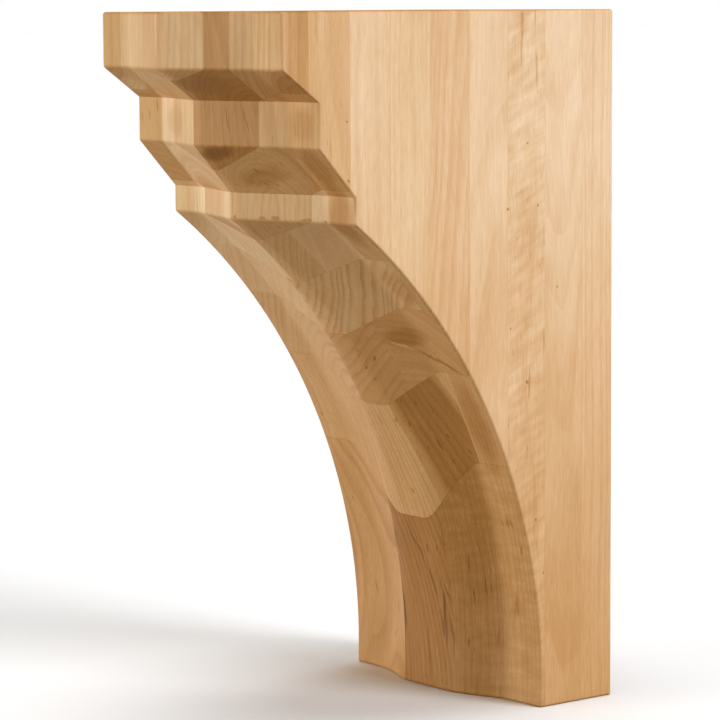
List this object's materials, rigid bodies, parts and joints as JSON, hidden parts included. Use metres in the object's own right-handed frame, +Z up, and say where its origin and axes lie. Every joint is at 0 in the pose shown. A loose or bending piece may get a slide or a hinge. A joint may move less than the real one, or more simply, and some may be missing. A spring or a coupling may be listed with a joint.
{
  "type": "wooden corbel bracket",
  "caption": "Wooden corbel bracket: a stepped, tiered head over a long concave cove, with a raised ridge down the middle that broadens to the foot. Bears a shelf or worktop.",
  "frame": {"origin": "middle of the flat back face, where the wall holds the bracket", "axes": "+Y out of the back face into the wall, so the front faces -Y; +Z up, the tall way; +X across the width, which is mirrored about X = 0"},
  "size_m": [0.13, 0.1956, 0.3048],
  "materials": {
    "maple": "bare sanded hardwood with a soft satin"
  },
  "bodies": {
    "root": {"corbel": "maple"}
  },
  "joints": []
}
